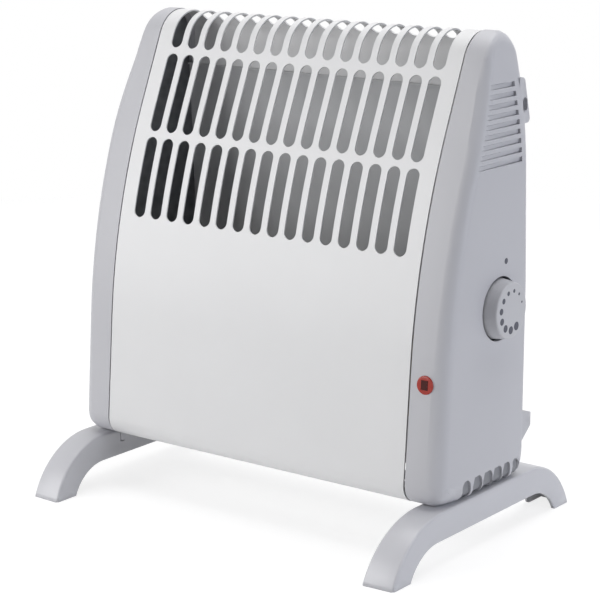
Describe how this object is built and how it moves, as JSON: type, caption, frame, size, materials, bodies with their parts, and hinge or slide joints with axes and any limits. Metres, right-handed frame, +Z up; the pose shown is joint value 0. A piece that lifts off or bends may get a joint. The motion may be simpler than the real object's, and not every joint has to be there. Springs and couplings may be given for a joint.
{
  "type": "convector heater",
  "caption": "Free-standing convector heater: slotted sheet-steel casing held between moulded end caps on arched feet, with a thermostat knob that turns and a pilot light.",
  "frame": {"origin": "on the floor, midway between the four foot tips", "axes": "+X to the knob side along the width, -Y to the front, +Z up"},
  "size_m": [0.2485, 0.1724, 0.263],
  "materials": {
    "casing_white": "satin powder coat",
    "cap_grey": "fine moulded texture",
    "foot_grey": "satin moulding",
    "knob_grey": "satin moulding",
    "lens_red": "clear red, polished",
    "lamp_glass": "clear",
    "zinc_steel": "zinc coated",
    "spindle_brass": "turned",
    "dark_moulding": "matt",
    "pale_moulding": "matt",
    "bush_rubber": "matt",
    "mica": "pressed mica card",
    "ribbon_steel": "oxidised resistance alloy"
  },
  "bodies": {
    "heater": {"front_sheet": "casing_white", "back_panel": "casing_white", "base_grille": "casing_white", "right_end_cap": "cap_grey", "left_end_cap": "cap_grey", "right_side_plate": "zinc_steel", "left_side_plate": "zinc_steel", "right_foot": "foot_grey", "left_foot": "foot_grey", "thermostat_body": "dark_moulding", "pilot_lens": "lens_red", "pilot_lamp": "lamp_glass", "cord_bush": "bush_rubber", "terminal_block": "pale_moulding", "thermal_cutout": "dark_moulding", "element_board": "mica", "element_ribbon": "ribbon_steel", "right_element_bracket": "zinc_steel", "left_element_bracket": "zinc_steel"},
    "knob": {"control_knob": "knob_grey", "thermostat_spindle": "spindle_brass"}
  },
  "joints": [
    {"name": "knob_turn", "type": "hinge", "parent": "heater", "child": "knob", "pos_m": [0.1205, 0.009, 0.1239], "axis": [1, 0, 0], "range_deg": [-220, 63]}
  ]
}
